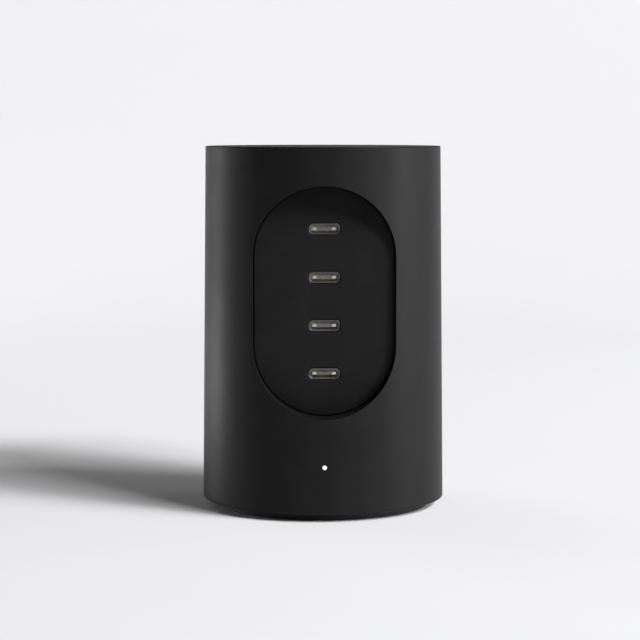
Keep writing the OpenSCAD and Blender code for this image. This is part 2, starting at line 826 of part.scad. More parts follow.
// One chip under each board's middle: beside the power switch and beside the transformer
module control_chips() {
    color(dark) for (i = [3, 4]) on_main([0, right_at(i)[1]]) slab(chip_size);
}

// The core is a frame with a round middle leg; the bobbin's feet lift it off the board

module transformer_core() {
    window = [core_size[0] - 2 * yoke_t, core_size[1] - 2 * yoke_t];
    color("dimgray") on_main(right_at(4), bobbin_foot) {
        difference() {
            slab(core_size);
            translate([-window[0] / 2, -window[1] / 2, -overcut])
                cube([window[0], window[1], core_size[2] + 2 * overcut]);
        }
        translate([0, window[1] / 2 + overcut, core_size[2] / 2]) rotate([90, 0, 0])
            cylinder(d = leg_d, h = window[1] + 2 * overcut);
    }
}

module transformer_bobbin() {
    h = core_size[1] - 2 * yoke_t - 2 * bobbin_gap;
    bore = leg_d + 2 * bobbin_gap;
    flange = core_size[0] - 2 * yoke_t - 2 * bobbin_gap;
    color(dark) on_main(right_at(4), bobbin_foot) {
        translate([0, h / 2, core_size[2] / 2]) rotate([90, 0, 0]) difference() {
            union() {
                cylinder(d = bore + 2 * bobbin_wall, h = h);
                for (z = [0, h - bobbin_wall]) translate([-flange / 2, -core_size[2] / 2, z])
                    cube([flange, core_size[2], bobbin_wall]);
            }
            translate([0, 0, -overcut]) cylinder(d = bore, h = h + 2 * overcut);
        }
        for (s = sides) translate([-flange / 2, s * (h - yoke_t) / 2 - yoke_t / 2, -bobbin_foot])
            cube([flange, yoke_t, bobbin_foot]);
    }
}

module transformer_winding() {
    h = core_size[1] - 2 * yoke_t - 2 * bobbin_wall - 4 * bobbin_gap;
    color("peru") on_main(right_at(4), bobbin_foot)
        translate([0, h / 2, core_size[2] / 2]) rotate([90, 0, 0]) difference() {
            cylinder(d = core_size[0] - 2 * (yoke_t + bobbin_gap + winding_inset), h = h);
            translate([0, 0, -overcut])
                cylinder(d = leg_d + 4 * bobbin_gap + 2 * bobbin_wall, h = h + 2 * overcut);
        }
}

// Link: pins that cross from one board to the other, in a socket on each

module at_link_pins() {
    for (i = [0:link_pin_count - 1])
        translate([link_at[0] + (i - (link_pin_count - 1) / 2) * link_pitch, 0, link_at[1]])
        children();
}

module link_block(a, b) {
    color(dark) difference() {
        block_y(link_at[0], link_at[1], link_size[0], link_size[1], a, b);
        at_link_pins()
            block_y(0, 0, link_pin_w + 2 * link_gap, link_pin_w + 2 * link_gap, a - overcut, b + overcut);
    }
}

module link_header() {
    link_block(main_y - link_size[2], main_y);
}

module link_socket() {
    link_block(port_board_back, port_board_back + link_size[2]);
}

module link_pins() {
    color(gold) at_link_pins() block_y(0, 0, link_pin_w, link_pin_w, port_board_back, main_y);
}

housing();
port_panel();
base_cover();
foot_ring();
base_screws();
light_pipe();
port_board();
usb_shell(0);  // usb_shell_1
usb_shell(1);  // usb_shell_2
usb_shell(2);  // usb_shell_3
usb_shell(3);  // usb_shell_4
usb_tongue(0);  // usb_tongue_1
usb_tongue(1);  // usb_tongue_2
usb_tongue(2);  // usb_tongue_3
usb_tongue(3);  // usb_tongue_4
usb_plate(0);  // usb_plate_1
usb_plate(1);  // usb_plate_2
usb_plate(2);  // usb_plate_3
usb_plate(3);  // usb_plate_4
usb_contacts(0);  // usb_contacts_1
usb_contacts(1);  // usb_contacts_2
usb_contacts(2);  // usb_contacts_3
usb_contacts(3);  // usb_contacts_4
status_led();
port_coils();
port_chips();
port_capacitors();
insulating_film();
main_board();
inlet_body();
inlet_pins();
fuse();
surge_arrester();
line_capacitor();
safety_capacitor();
choke_core();
choke_stand();
choke_windings();
bridge_rectifier();
power_switch();
heat_sink();
supply_capacitor();
bulk_capacitor(0);  // bulk_capacitor_1
bulk_capacitor(1);  // bulk_capacitor_2
transformer_core();
transformer_bobbin();
transformer_winding();
output_capacitors();
control_chips();
link_header();
link_socket();
link_pins();
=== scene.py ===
import json
import math

import bmesh
import bpy
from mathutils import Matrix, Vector


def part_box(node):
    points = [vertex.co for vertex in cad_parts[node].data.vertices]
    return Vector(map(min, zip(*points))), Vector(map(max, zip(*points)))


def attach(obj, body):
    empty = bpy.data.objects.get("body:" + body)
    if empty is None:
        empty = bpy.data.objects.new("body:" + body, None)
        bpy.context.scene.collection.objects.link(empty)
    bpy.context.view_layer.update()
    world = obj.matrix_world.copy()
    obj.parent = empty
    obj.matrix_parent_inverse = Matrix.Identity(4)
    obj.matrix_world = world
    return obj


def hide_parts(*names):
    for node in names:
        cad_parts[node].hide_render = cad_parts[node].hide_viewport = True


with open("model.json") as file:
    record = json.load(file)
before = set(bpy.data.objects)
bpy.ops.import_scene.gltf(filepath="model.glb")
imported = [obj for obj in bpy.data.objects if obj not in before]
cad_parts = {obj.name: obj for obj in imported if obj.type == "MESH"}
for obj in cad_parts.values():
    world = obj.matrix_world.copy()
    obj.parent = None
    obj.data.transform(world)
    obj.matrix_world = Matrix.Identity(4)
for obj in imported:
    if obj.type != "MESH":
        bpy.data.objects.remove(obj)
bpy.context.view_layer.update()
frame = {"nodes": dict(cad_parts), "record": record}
scene = bpy.context.scene
nodes = frame["nodes"]
mm = 0.001
print("frame loaded:", len(nodes), "nodes")


# One socket of a material; a sum or product with another wire or a number adds a Math node
class Wire:
    def __init__(self, finish, socket):
        self.finish = finish
        self.socket = socket

    def combined(self, operation, other):
        return self.finish.node("ShaderNodeMath", {"operation": operation}, {0: self, 1: other})

    def __add__(self, other):
        return self.combined("ADD", other)

    def __mul__(self, other):
        return self.combined("MULTIPLY", other)


# A node-based material with its Principled shader and the object's own coordinates
class Finish:
    def __init__(self, name):
        self.material = bpy.data.materials.new(name)
        self.material.use_nodes = True
        self.tree = self.material.node_tree
        self.shader = self.tree.nodes["Principled BSDF"]
        self.place = self.node("ShaderNodeTexCoord", output="Object")

    # Any node: its type, its settings, then the values or wires of its sockets
    def node(self, kind, settings=None, sockets=None, output=0):
        made = self.tree.nodes.new(kind)
        for name, value in (settings or {}).items():
            setattr(made, name, value)
        self.fill(made, sockets or {})
        return Wire(self, made.outputs[output])

    def fill(self, node, sockets):
        for name, value in sockets.items():
            if isinstance(value, Wire):
                self.tree.links.new(value.socket, node.inputs[name])
            else:
                node.inputs[name].default_value = value

    # Sets sockets of the Principled shader
    def shade(self, sockets):
        self.fill(self.shader, sockets)
        return self.material

    # Stretches the object's coordinates, so that a pattern runs along one axis
    def stretched(self, scale):
        return self.node("ShaderNodeMapping", None, {"Vector": self.place, "Scale": scale})

    # Noise whose patches are about size metres across, from 0 to 1
    def noise(self, size, detail=2, roughness=0.5, vector=None):
        return self.node("ShaderNodeTexNoise", {"noise_dimensions": "3D"}, {
            "Vector": vector or self.place, "Scale": 1 / size,
            "Detail": detail, "Roughness": roughness,
        })

    # Brings a wire's range from (a, b) to (c, d)
    def span(self, wire, a, b, c, d):
        return self.node("ShaderNodeMapRange", {"clamp": True}, {
            "Value": wire, "From Min": a, "From Max": b, "To Min": c, "To Max": d,
        })

    def blend(self, factor, first, second, mode="MIX"):
        return self.node("ShaderNodeMix", {"data_type": "RGBA", "blend_type": mode}, {
            0: factor, 6: first, 7: second,
        }, 2)

    # Small relief: height is from 0 to 1 and stands for depth metres
    def relief(self, height, depth):
        return self.node("ShaderNodeBump", None, {"Height": height, "Distance": depth})


noiseSpan = (0.3, 0.7)  # nearly all of a noise lies between these
noiseMiddle = (0.35, 0.65)  # most of it does


# Two wires added up, the first with its share of the whole
def mixed(first, second, share):
    return first * share + second * (1 - share)


def grey(value, tint=(1, 1, 1)):
    return (value * tint[0], value * tint[1], value * tint[2], 1)


def toned(colour, factor):
    return [c * factor for c in colour[:3]] + [1]


# Moulded plastic: a fine eroded grain, with soft patches in colour and gloss
moulded = {"patch": 9 * mm, "grain": 0.16 * mm, "depth": 0.004 * mm, "eroded": 0.6,
           "mottle": 0.12, "gloss": 0.04, "patchTone": 0.7, "patchGloss": 0.5}


def mouldedFinish(name, colour, roughness, grain=moulded["grain"], depth=moulded["depth"],
                  specular=0.5):
    f = Finish(name)
    patches = f.noise(moulded["patch"], detail=3)
    fine = f.noise(grain, detail=3, roughness=moulded["eroded"])
    tone = f.span(mixed(patches, fine, moulded["patchTone"]), *noiseMiddle, 0, 1)
    sheen = f.span(mixed(patches, fine, moulded["patchGloss"]), *noiseSpan,
                   roughness - moulded["gloss"], roughness + moulded["gloss"])
    dark, light = (toned(colour, 1 + side * moulded["mottle"]) for side in (-1, 1))
    return f.shade({
        "Base Color": f.blend(tone, dark, light), "Roughness": sheen,
        "Specular IOR Level": specular, "Normal": f.relief(fine, depth),
    })


# Plated or bare metal with fine lines along one axis, clouded and dulled here and there
drawn = {"along": (1, 0.04, 1), "lines": 0.12 * mm, "depth": 0.002 * mm, "broken": 0.55,
         "cloud": 1.8 * mm, "lineShare": 0.6, "dark": 0.82, "smoother": 0.06, "rougher": 0.08}


def drawnLines(f, along=drawn["along"], lines=drawn["lines"]):
    return f.noise(lines, detail=3, roughness=drawn["broken"], vector=f.stretched(along))


def drawnFinish(name, colour, roughness, along=drawn["along"], lines=drawn["lines"]):
    f = Finish(name)
    streaks = drawnLines(f, along, lines)
    worn = mixed(streaks, f.noise(drawn["cloud"]), drawn["lineShare"])
    tone = f.span(worn, *noiseSpan, 0, 1)
    sheen = f.span(worn, *noiseSpan, roughness - drawn["smoother"], roughness + drawn["rougher"])
    return f.shade({
        "Base Color": f.blend(tone, toned(colour, drawn["dark"]), colour), "Roughness": sheen,
        "Metallic": 1, "Normal": f.relief(streaks, drawn["depth"]),
    })


# The ports' metal and plastic change behind their mouths, at these depths; deeper in, their colour
# is painted brighter, as painted light inside the ports
portLooks = {
    "lip": (0.15 * mm, 0.45 * mm), "lipRoughness": 0.42, "wallRoughness": 0.22, "streaks": 0.06,
    "tongue": (0.75 * mm, 1.0 * mm), "coreRoughness": (0.46, 0.54), "grain": 0.1 * mm,
    "speckle": 0.92,
}
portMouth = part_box("usb_shell_1")[0].y


# From 0 to 1 between two depths behind the mouths of the ports, which lie in one plane
def behindMouth(f, start, end):
    y = f.node("ShaderNodeSeparateXYZ", None, {0: f.place}, "Y")
    return f.span(y, portMouth + start, portMouth + end, 0, 1)


# The ports' shells: a dulled lip before drawn walls; the colour goes from a dark lip to bright
# walls deeper in, painted light inside the port
def shellFinish(name, lip, wall):
    f = Finish(name)
    streaks = drawnLines(f)
    deep = behindMouth(f, *portLooks["lip"])
    sheen = f.span(deep, 0, 1, portLooks["lipRoughness"], portLooks["wallRoughness"])
    return f.shade({
        # Base Color brightens with depth behind the mouth: painted light inside the port
        "Base Color": f.blend(deep, lip, wall), "Roughness": sheen + streaks * portLooks["streaks"],
        "Metallic": 1, "Normal": f.relief(streaks, drawn["depth"] / 2),
    })


# The ports' cores: a darker tongue before a block painted pale deeper in, painted light that
# brightens the port's inside
def coreFinish(name, tongue, paintedLitBlock):
    f = Finish(name)
    fine = f.noise(portLooks["grain"], detail=3, roughness=moulded["eroded"])
    tone = f.blend(f.span(fine, *noiseMiddle, 0, 1), grey(portLooks["speckle"]), grey(1))
    # the block behind the tongue is painted pale: painted light inside the port
    plastic = f.blend(behindMouth(f, *portLooks["tongue"]), tongue, paintedLitBlock)
    return f.shade({
        "Base Color": f.blend(1, plastic, tone, "MULTIPLY"),
        "Roughness": f.span(fine, *noiseSpan, *portLooks["coreRoughness"]),
        "Normal": f.relief(fine, moulded["depth"]),
    })


# The lit end of the light pipe: even in its middle, with a soft edge and a faint cloud
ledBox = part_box("light_pipe")
lit = {
    "middle": ((ledBox[0].x + ledBox[1].x) / 2, ledBox[0].y, (ledBox[0].z + ledBox[1].z) / 2),
    "radius": 0.49 * mm, "edge": 0.15, "strength": 1.0, "cloud": 0.4 * mm, "dimmest": 0.97,
    "unlit": grey(0.02), "glow": grey(1, (0.99, 1, 1)), "plastic": (grey(0.75), grey(0.85)),
    "roughness": 0.3,
}


def litFinish(name):
    f = Finish(name)
    away = f.node("ShaderNodeVectorMath", {"operation": "DISTANCE"},
                  {0: f.place, 1: lit["middle"]}, "Value")
    cloud = f.noise(lit["cloud"])
    inner, outer = ((1 + side * lit["edge"]) * lit["radius"] for side in (-1, 1))
    glow = f.span(away, inner, outer, 1, 0) * f.span(cloud, *noiseSpan, lit["dimmest"], 1)
    return f.shade({
        "Base Color": f.blend(cloud, *lit["plastic"]), "Roughness": lit["roughness"],
        "Emission Color": f.blend(glow, lit["unlit"], lit["glow"]),
        "Emission Strength": lit["strength"],
    })


# Solder resist over copper tracks
resist = {"tracks": 2.6 * mm, "along": (1, 0.3, 1), "border": (0.04, 0.09), "lift": (1.9, 0.01),
          "weave": 0.5 * mm, "depth": 0.03 * mm, "trackShare": 0.8, "roughness": (0.32, 0.46),
          "coat": 0.3}


def boardFinish(name, colour):
    f = Finish(name)
    tracks = f.node("ShaderNodeTexVoronoi", {"feature": "DISTANCE_TO_EDGE"}, {
        "Vector": f.stretched(resist["along"]), "Scale": 1 / resist["tracks"],
    })
    mask = f.span(tracks, *resist["border"], 1, 0)
    weave = f.noise(resist["weave"])
    gain, extra = resist["lift"]
    raised = [min(1, c * gain + extra) for c in colour[:3]] + [1]
    return f.shade({
        "Base Color": f.blend(mask, colour, raised),
        "Roughness": f.span(weave, *noiseSpan, *resist["roughness"]),
        "Coat Weight": resist["coat"],
        "Normal": f.relief(mixed(mask, weave, resist["trackShare"]), resist["depth"]),
    })


# Enamelled wire or tape: bands across the turns
wound = {"pitch": 0.35 * mm, "depth": 0.05 * mm, "dark": 0.55, "wander": 0.4,
         "roughness": (0.5, 0.3)}
wavePeriod = 0.314  # metres from band to band of a Wave texture, at a scale of 1


def woundFinish(name, colour, metallic, pitch=wound["pitch"]):
    f = Finish(name)
    bands = f.node("ShaderNodeTexWave", {"bands_direction": "Z"}, {
        "Vector": f.place, "Scale": wavePeriod / pitch, "Distortion": wound["wander"],
        "Detail": 1,
    })
    return f.shade({
        "Base Color": f.blend(bands, toned(colour, wound["dark"]), colour), "Metallic": metallic,
        "Roughness": f.span(bands, 0, 1, *wound["roughness"]),
        "Normal": f.relief(bands, wound["depth"]),
    })


def wear(node, material):
    node.data.materials.clear()
    node.data.materials.append(material)
    for face in node.data.polygons:
        face.material_index = 0


# Tints of the greys
coldGrey = (1, 1, 1.01)
steelGrey = (1, 1, 0.99)
zincGrey = (1, 1, 1.02)
nickelGrey = (1, 1, 0.97)
aluminiumGrey = (1, 1.01, 1.03)
blueGrey = (1, 1, 1.1)
# A finish for each material slot of the record. A moulded one has its colour, roughness, and
# the size and depth of its grain; a drawn one its colour, roughness, and the direction and
# width of its lines; a wound one its colour, how metallic it is, and the pitch of its turns
finishes = {
    "housing": mouldedFinish("housingPlastic", grey(0.0095, coldGrey), 0.45, specular=0.1),
    "panel": mouldedFinish("panelPlastic", grey(0.0105, coldGrey), 0.5, specular=0.08),
    "cover": mouldedFinish("coverPlastic", grey(0.004), 0.5),
    "foot": mouldedFinish("footRubber", grey(0.006), 0.75, 0.3 * mm, 0.01 * mm),
    "screw": drawnFinish("screwZinc", grey(0.45, zincGrey), 0.35, (1, 1, 0.1)),
    "light": litFinish("lightPipeLit"),
    # The ports' shells and cores take a bright colour deeper in: painted light inside the ports
    "shell": shellFinish("portSteel", grey(0.18, steelGrey), grey(0.75, steelGrey)),
    "core": coreFinish("portPlastic", grey(0.105), grey(0.93)),
    "plate": drawnFinish("plateNickel", (0.8, 0.74, 0.6, 1), 0.3, (1, 0.1, 1), 0.1 * mm),
    "contact": drawnFinish("contactGold", (0.83, 0.66, 0.32, 1), 0.25, (1, 0.1, 1), 0.06 * mm),
    "board": boardFinish("boardResist", (0.02, 0.12, 0.06, 1)),
    "chip": mouldedFinish("chipEpoxy", grey(0.03), 0.6, 0.12 * mm),
    "ceramic": mouldedFinish("firedCeramic", (0.55, 0.42, 0.28, 1), 0.5, 0.2 * mm),
    "film": mouldedFinish("insulatingFilm", (0.8, 0.78, 0.68, 1), 0.4, 0.4 * mm),
    "inlet": mouldedFinish("inletPlastic", grey(0.0048), 0.45, specular=0.25),
    "pin": drawnFinish("pinNickel", grey(0.62, nickelGrey), 0.22, (1, 0.08, 1), 0.2 * mm),
    "fuse": mouldedFinish("fuseShell", (0.25, 0.12, 0.06, 1), 0.4),
    "lacquer": mouldedFinish("dippedLacquer", (0.05, 0.16, 0.45, 1), 0.25, 0.5 * mm, 0.02 * mm),
    "case": mouldedFinish("capacitorCase", (0.75, 0.6, 0.12, 1), 0.35),
    "ferrite": mouldedFinish("sinteredFerrite", grey(0.09, blueGrey), 0.6, 0.15 * mm, 0.01 * mm),
    "copper": woundFinish("enamelledWire", (0.7, 0.33, 0.14, 1), 0.8),
    "sink": drawnFinish("rolledAluminium", grey(0.75, aluminiumGrey), 0.35, (1, 0.05, 1), 0.2 * mm),
    "sleeve": mouldedFinish("shrunkSleeve", (0.04, 0.05, 0.16, 1), 0.3, 0.6 * mm),
    "can": drawnFinish("canAluminium", grey(0.7, aluminiumGrey), 0.3, (1, 0.05, 1), 0.2 * mm),
    "bobbin": mouldedFinish("bobbinPlastic", grey(0.04, blueGrey), 0.5),
    "winding": woundFinish("tapedWinding", (0.72, 0.55, 0.12, 1), 0.0, 0.6 * mm),
}
slots = {part["node"]: part["material_slot"] for part in frame["record"]["subparts"]}
for name, node in nodes.items():
    wear(node, finishes[slots[name]])
print("finishes made:", len(finishes))


def clampTo(value, limit):
    return max(-limit, min(limit, value))


# A rounded outline in the front view: the half sizes of its core rectangle and the radius
# round it, in millimetres
class Outline:
    def __init__(self, halfX, halfZ, radius, z, x=0):
        self.half = (halfX, halfZ)
        self.radius = radius
        self.middle = (x, z)

    # The point of the outline, grown by extra, that lies nearest to point
    def near(self, point, extra=0):
        dx, dz = point[0] - self.middle[0], point[1] - self.middle[1]
        cx, cz = clampTo(dx, self.half[0]), clampTo(dz, self.half[1])
        away = math.hypot(dx - cx, dz - cz) or 1
        grow = (self.radius + extra) / away
        return self.middle[0] + cx + (dx - cx) * grow, self.middle[1] + cz + (dz - cz) * grow

    # How far outside the outline a point lies
    def outside(self, point):
        dx, dz = point[0] - self.middle[0], point[1] - self.middle[1]
        away = math.hypot(dx - clampTo(dx, self.half[0]), dz - clampTo(dz, self.half[1]))
        return away - self.radius


# Points are given in millimetres
def addRing(bm, points):
    return [bm.verts.new(Vector(p) * mm) for p in points]


def joinRings(bm, first, second):
    for i in range(len(first)):
        j = (i + 1) % len(first)
        bm.faces.new((first[i], first[j], second[j], second[i]))


# Joins two closed rings with different numbers of points by a strip of triangles
def zipRings(bm, first, second, angle):
    a = sorted(first, key=angle)
    b = sorted(second, key=angle)
    i = j = 0
    while i < len(a) or j < len(b):
        nextA = angle(a[i + 1]) if i + 1 < len(a) else angle(a[0]) + 2 * math.pi
        nextB = angle(b[j + 1]) if j + 1 < len(b) else angle(b[0]) + 2 * math.pi
        if i < len(a) and (j >= len(b) or nextA <= nextB):
            bm.faces.new((a[i], a[(i + 1) % len(a)], b[j % len(b)]))
            i += 1
        else:
            bm.faces.new((a[i % len(a)], b[(j + 1) % len(b)], b[j]))
            j += 1


# Edges steeper than sharp degrees stay sharp
def makeObject(name, bm, sharp):
    bmesh.ops.recalc_face_normals(bm, faces=bm.faces)
    mesh = bpy.data.meshes.new(name)
    bm.to_mesh(mesh)
    bm.free()
    made = bpy.data.objects.new(name, mesh)
    scene.collection.objects.link(made)
    mesh.shade_smooth()
    mesh.set_sharp_from_angle(angle=math.radians(sharp))
    return made


# A finished piece rides on the one body, stands for its node and takes its finish
def finishPiece(piece, node):
    wear(piece, finishes[slots[node]])
    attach(piece, "root")
    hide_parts(node)
    return piece


# Housing: the outer skin is drawn here on the cone, and the moulded inside is the CAD node's.
# In millimetres and degrees. As shares of the way, spreads places rings between an opening's
# edge and the grid, wallShares places them down its wall, and supportReach is the furthest
# that a ring close to the edge may lie from it
housing = {
    "rimRadius": 36.3, "topRadius": 35.2, "foot": 2.4, "top": 107.9, "sharp": 38,
    "rimEdge": 0.4, "rimSteps": 4, "topEdge": 0.3, "topSteps": 5, "topRings": (28, 18, 8),
    "columns": 144, "rowStep": 2.0, "edgeRow": 0.3, "rowSlack": 1e-6, "bevelSteps": 5,
    "spreads": (0.35, 0.65), "supportReach": 0.25, "wallShares": (0.06, 0.25, 0.5, 0.75, 1),
}
# Each opening: its outline, the patch of the grid round it (half its width in degrees, its
# lowest and highest row), the radius of its edge, the Y where its wall ends, its side (-1 in
# front, 1 behind), and how far from the edge its closest rings lie
windows = {
    "recess": {
        "outline": Outline(0, 12.8, 20.635, 63.3), "half": 45, "low": 24, "high": 102.0,
        "edge": 0.22, "floor": -25.316, "side": -1, "supports": (0.25, 0.9, 2.0),
    },
    "lightHole": {
        "outline": Outline(0, 0, 0.725, 16.1), "half": 7.5, "low": 12.0, "high": 20.0,
        "edge": 0.1, "floor": -33.66, "side": -1, "supports": (0.1, 0.5),
    },
    "inletWindow": {
        "outline": Outline(7.7, 3.6, 2.5, 19.0), "half": 22.5, "low": 9.0, "high": 29.0,
        "edge": 0.2, "floor": 33.2, "side": 1, "supports": (0.25, 0.7),
    },
}
# How near the new skin a face of the CAD housing has to lie to be taken away
taken = {"skin": 0.5, "skinPoint": 0.6, "top": 0.5, "foot": 0.05, "slack": 0.02, "wall": 0.06,
         "pipeEnd": 1, "merge": 0.001}


def coneRadius(z):
    s = housing
    share = (z - s["foot"]) / (s["top"] - s["foot"])
    return s["rimRadius"] + (s["topRadius"] - s["rimRadius"]) * share


def onCone(x, z, side):
    return (x, side * math.sqrt(coneRadius(z) ** 2 - x * x), z)


# The heights of the grid's rows: a row at each patch's ends, and even steps between
def gridRows():
    s = housing
    low, high = s["foot"] + s["rimEdge"], s["top"] - s["topEdge"]
    ends = {low, low + s["edgeRow"], high - s["edgeRow"], high}
    marks = sorted(ends | {w[k] for w in windows.values() for k in ("low", "high")})
    rows = []
    for a, b in zip(marks, marks[1:]):
        count = max(1, round((b - a) / s["rowStep"]))
        rows += [a + (b - a) * i / count for i in range(count)]
    return rows + [high]


# The grid points round a window's patch, in order, as (column, row)
def patchLoop(columns, rows):
    left, right, low, high = columns[0], columns[-1], rows[0], rows[-1]
    loop = [(c, low) for c in columns[:-1]] + [(right, r) for r in rows[:-1]]
    loop += [(c, high) for c in reversed(columns[1:])] + [(left, r) for r in reversed(rows[1:])]
    return loop


def arcPoints(x, z, radius, start, end, steps):
    turn = [math.radians(start + (end - start) * i / steps) for i in range(steps + 1)]
    return [(x + radius * math.cos(t), z + radius * math.sin(t)) for t in turn]


# A point on the way from a to c, on a curve that is drawn towards b
def curvePoint(a, b, c, t):
    return [p * (1 - t) ** 2 + 2 * q * t * (1 - t) + r * t * t for p, q, r in zip(a, b, c)]


# Rings from a patch's border in to the opening, round its edge and down its wall
def cutWindow(bm, w, loop):
    s, outline, edge, side = housing, w["outline"], w["edge"], w["side"]
    border = [(v.co.x / mm, v.co.z / mm) for v in loop]
    flush = [outline.near(p, edge) for p in border]
    rings = [loop]

    def addConeRing(points):
        rings.append(addRing(bm, [onCone(x, z, side) for x, z in points]))

    for share in reversed(s["spreads"]):
        addConeRing([[a + (b - a) * share for a, b in zip(q, p)] for p, q in zip(border, flush)])
    for extra in reversed(w["supports"]):
        addConeRing([outline.near(p, edge + min(extra, s["supportReach"] * math.dist(p, q)))
                     for p, q in zip(border, flush)])
    for k in range(s["bevelSteps"] + 1):
        points = []
        for p, q in zip(border, flush):
            corner = onCone(*outline.near(p), side)
            inner = (corner[0], corner[1] - side * edge, corner[2])
            points.append(curvePoint(onCone(*q, side), corner, inner, k / s["bevelSteps"]))
        rings.append(addRing(bm, points))
    last = [v.co.y / mm for v in rings[-1]]
    for share in s["wallShares"]:
        points = []
        for p, y in zip(border, last):
            x, z = outline.near(p)
            points.append((x, y + (w["floor"] - y) * share, z))
        rings.append(addRing(bm, points))
    for a, b in zip(rings, rings[1:]):
        joinRings(bm, a, b)
    return rings[-1]


# Whether a face of the CAD housing gives way to the new skin
def isTaken(face):
    x, y, z = face.calc_center_median() / mm
    radii = [math.hypot(v.co.x, v.co.y) / mm for v in face.verts]
    depths = [coneRadius(v.co.z / mm) - r for v, r in zip(face.verts, radii)]
    if coneRadius(z) - max(radii) < taken["skin"] and max(depths) < taken["skinPoint"]:
        return True
    if z > housing["top"] - taken["top"] or z < housing["foot"] + taken["foot"]:
        return True
    for w in windows.values():
        out = w["outline"].outside((x, z))
        if y * w["side"] > 0 and out < taken["slack"]:
            if w["side"] < 0 and y < w["floor"] + taken["slack"]:
                return True
            if w["side"] > 0 and abs(out) < taken["wall"]:
                return True
    hole = windows["lightHole"]
    near = hole["outline"].outside((x, z)) < taken["pipeEnd"]
    return near and abs(y - hole["floor"]) < taken["slack"]


def mouldedInside():
    bm = bmesh.new()
    bm.from_mesh(nodes["housing"].data)
    bmesh.ops.remove_doubles(bm, verts=bm.verts, dist=taken["merge"] * mm)
    bmesh.ops.delete(bm, geom=[face for face in bm.faces if isTaken(face)], context="FACES")
    return bm


# The closed loops of points along a mesh's open edges
def openRings(bm):
    edges = {e for e in bm.edges if e.is_boundary}
    loops = []
    while edges:
        e = edges.pop()
        loop = [e.verts[0], e.verts[1]]
        while True:
            following = [x for x in loop[-1].link_edges if x in edges]
            if not following:
                break
            edges.discard(following[0])
            loop.append(following[0].other_vert(loop[-1]))
        loops.append(loop[:-1] if loop[0] == loop[-1] else loop)
    return loops


def middleOf(ring):
    return sum((v.co for v in ring), Vector()) / len(ring)


# What puts the points of a ring in order: a turn round the opening, or round the whole
# housing. Only the order counts, so x may stay in metres while z is in millimetres
def turnRound(name):
    if name not in windows:
        return lambda v: math.atan2(v.co.y, v.co.x)
    middle = windows[name]["outline"].middle
    return lambda v: math.atan2(v.co.z / mm - middle[1], v.co.x)


def buildHousing():
    s, count = housing, housing["columns"]
    bm = mouldedInside()
    inside = openRings(bm)
    rows = gridRows()
    angles = [2 * math.pi * (i / count) for i in range(count)]

    def circle(radius, z):
        return addRing(bm, [(radius * math.sin(a), -radius * math.cos(a), z) for a in angles])

    grid = [circle(coneRadius(z), z) for z in rows]
    skipped, ends = set(), {}
    for name, w in windows.items():
        middle = 0 if w["side"] < 0 else count // 2
        span = round(w["half"] / 360 * count)
        columns = [(middle + i) % count for i in range(-span, span + 1)]
        low, high = w["low"] - s["rowSlack"], w["high"] + s["rowSlack"]
        picked = [i for i, z in enumerate(rows) if low <= z <= high]
        loop = [grid[r][c] for c, r in patchLoop(columns, picked)]
        skipped |= {(r, c) for r in picked[:-1] for c in columns[:-1]}
        for r in picked[1:-1]:
            for c in columns[1:-1]:
                bm.verts.remove(grid[r][c])
        ends[name] = cutWindow(bm, w, loop)
    for r in range(len(rows) - 1):
        for c in range(count):
            if (r, c) not in skipped:
                d = (c + 1) % count
                bm.faces.new((grid[r][c], grid[r][d], grid[r + 1][d], grid[r + 1][c]))
    low, high = rows[0], rows[-1]
    rimEdge, topEdge = s["rimEdge"], s["topEdge"]
    rim = arcPoints(coneRadius(low) - rimEdge, low, rimEdge, 0, -90, s["rimSteps"])[1:]
    top = arcPoints(coneRadius(high) - topEdge, high, topEdge, 0, 90, s["topSteps"])[1:]
    below = [grid[0]] + [circle(r, z) for r, z in rim]
    above = [grid[-1]] + [circle(r, z) for r, z in top]
    above += [circle(r, s["top"]) for r in (top[-1][0] - s["edgeRow"], *s["topRings"])]
    for rings in (below, above):
        for a, b in zip(rings, rings[1:]):
            joinRings(bm, a, b)
    centre = bm.verts.new(Vector((0, 0, s["top"])) * mm)
    for i in range(count):
        bm.faces.new((above[-1][i], above[-1][(i + 1) % count], centre))
    ends["rim"] = below[-1]
    # Each end of the skin is sewn to the nearest open ring of the inside
    for name, ring in ends.items():
        c = middleOf(ring)
        near = min(inside, key=lambda loop: (middleOf(loop) - c).length)
        zipRings(bm, ring, near, turnRound(name))
    return finishPiece(makeObject("housingShell", bm, s["sharp"]), "housing")


buildHousing()
print("housing made")

# Pieces made from their CAD nodes: doubles merged, flat faces made whole, sharp edges rounded
soft = {"merge": 0.0005, "flat": 0.3, "sharp": 35, "segments": 3}


def cleanCopy(node):
    bm = bmesh.new()
    bm.from_mesh(nodes[node].data)
    bmesh.ops.remove_doubles(bm, verts=bm.verts, dist=soft["merge"] * mm)
    bmesh.ops.dissolve_limit(bm, angle_limit=math.radians(soft["flat"]),
                             verts=bm.verts, edges=bm.edges)
    return bm


def softPiece(name, node, width, segments=soft["segments"], bm=None):
    piece = makeObject(name, bm or cleanCopy(node), soft["sharp"])
    bevel = piece.modifiers.new("softEdges", "BEVEL")
    bevel.width = width * mm
    bevel.segments = segments
    bevel.limit_method = "ANGLE"
    bevel.angle_limit = math.radians(soft["sharp"])
    bevel.miter_outer = "MITER_ARC"
    bevel.harden_normals = True
    return finishPiece(piece, node)


# The panel's outline is rounded more than its slots; outlineBand is how far in from the
# recess's outline an edge counts as part of it
panel = {"outlineEdge": 0.3, "outlineBand": 1, "slotEdge": 0.12, "segments": 4, "slack": 0.001}


